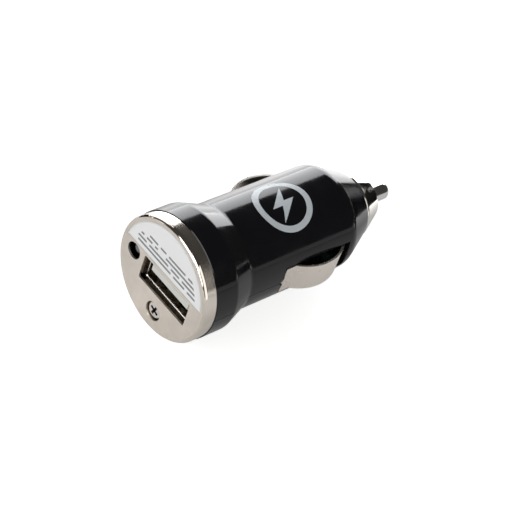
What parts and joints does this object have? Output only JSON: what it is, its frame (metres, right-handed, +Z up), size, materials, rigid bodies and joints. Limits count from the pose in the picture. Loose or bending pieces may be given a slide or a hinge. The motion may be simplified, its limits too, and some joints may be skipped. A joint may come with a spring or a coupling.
{
  "type": "car usb charger",
  "caption": "Small bullet-shaped plug for a car's 12 V socket: black two-part shell, satin front cap with a USB-A slot, sprung side contacts and a sprung centre pin.",
  "frame": {"origin": "on the plug's axis, in the plane of the front face", "axes": "+Y along the plug from the face to the centre pin, +Z up through the labelled half of the face, +X to the right seen from in front of the face with the USB slot across it"},
  "size_m": [0.0242, 0.0562, 0.0242],
  "materials": {
    "cap_nickel": "satin nickel plate",
    "label_film": "matt film",
    "screw_nickel": "bright nickel plate",
    "housing_black": "gloss moulding",
    "ring_chrome": "bright plate",
    "pin_chrome": "bright plate",
    "spring_steel": "drawn wire",
    "seat_brass": "pressed sheet",
    "contact_nickel": "satin nickel plate",
    "clip_tin": "tin plate",
    "shell_nickel": "nickel plate",
    "tongue_plastic": "matt moulding",
    "contact_gold": "gold flash",
    "board_green": "solder mask",
    "lamp_smoke": "clear smoked lens",
    "chip_black": "matt moulding",
    "core_ferrite": "ferrite",
    "winding_copper": "enamelled copper",
    "can_sleeve": "shrink sleeve",
    "resistor_black": "fired film",
    "capacitor_tan": "fired ceramic"
  },
  "bodies": {
    "housing": {"face_cap": "cap_nickel", "face_label": "label_film", "face_screw": "screw_nickel", "housing_upper": "housing_black", "housing_lower": "housing_black", "nose_ring": "ring_chrome", "tip_spring": "spring_steel", "spring_seat": "seat_brass", "ground_clip_left": "clip_tin", "ground_clip_right": "clip_tin", "usb_shell": "shell_nickel", "usb_tongue": "tongue_plastic", "usb_contacts": "contact_gold", "circuit_board": "board_green", "indicator_lamp": "lamp_smoke", "lamp_leads": "clip_tin", "regulator_chip": "chip_black", "inductor_core": "core_ferrite", "inductor_winding": "winding_copper", "input_capacitor": "can_sleeve", "output_capacitor": "can_sleeve", "rectifier_diode": "chip_black", "chip_resistors": "resistor_black", "chip_capacitors": "capacitor_tan"},
    "centre_pin": {"centre_pin": "pin_chrome"},
    "left_contact": {"side_contact_left": "contact_nickel"},
    "right_contact": {"side_contact_right": "contact_nickel"}
  },
  "joints": [
    {"name": "pin_slide", "type": "slide", "parent": "housing", "child": "centre_pin", "axis": [0, -1, 0], "range_m": [0, 0.0022], "stiffness_N_per_m": 700, "springref_m": -0.003, "deforming": ["tip_spring"]},
    {"name": "right_contact_swing", "type": "hinge", "parent": "housing", "child": "right_contact", "pos_m": [0.0093, 0.0211, 0], "axis": [0, 0, 1], "range_deg": [0, 12], "stiffness_Nm_per_rad": 0.12, "springref_deg": -6.88},
    {"name": "left_contact_swing", "type": "hinge", "parent": "housing", "child": "left_contact", "pos_m": [-0.0093, 0.0211, 0], "axis": [0, 0, -1], "range_deg": [0, 12], "stiffness_Nm_per_rad": 0.12, "springref_deg": -6.88}
  ]
}
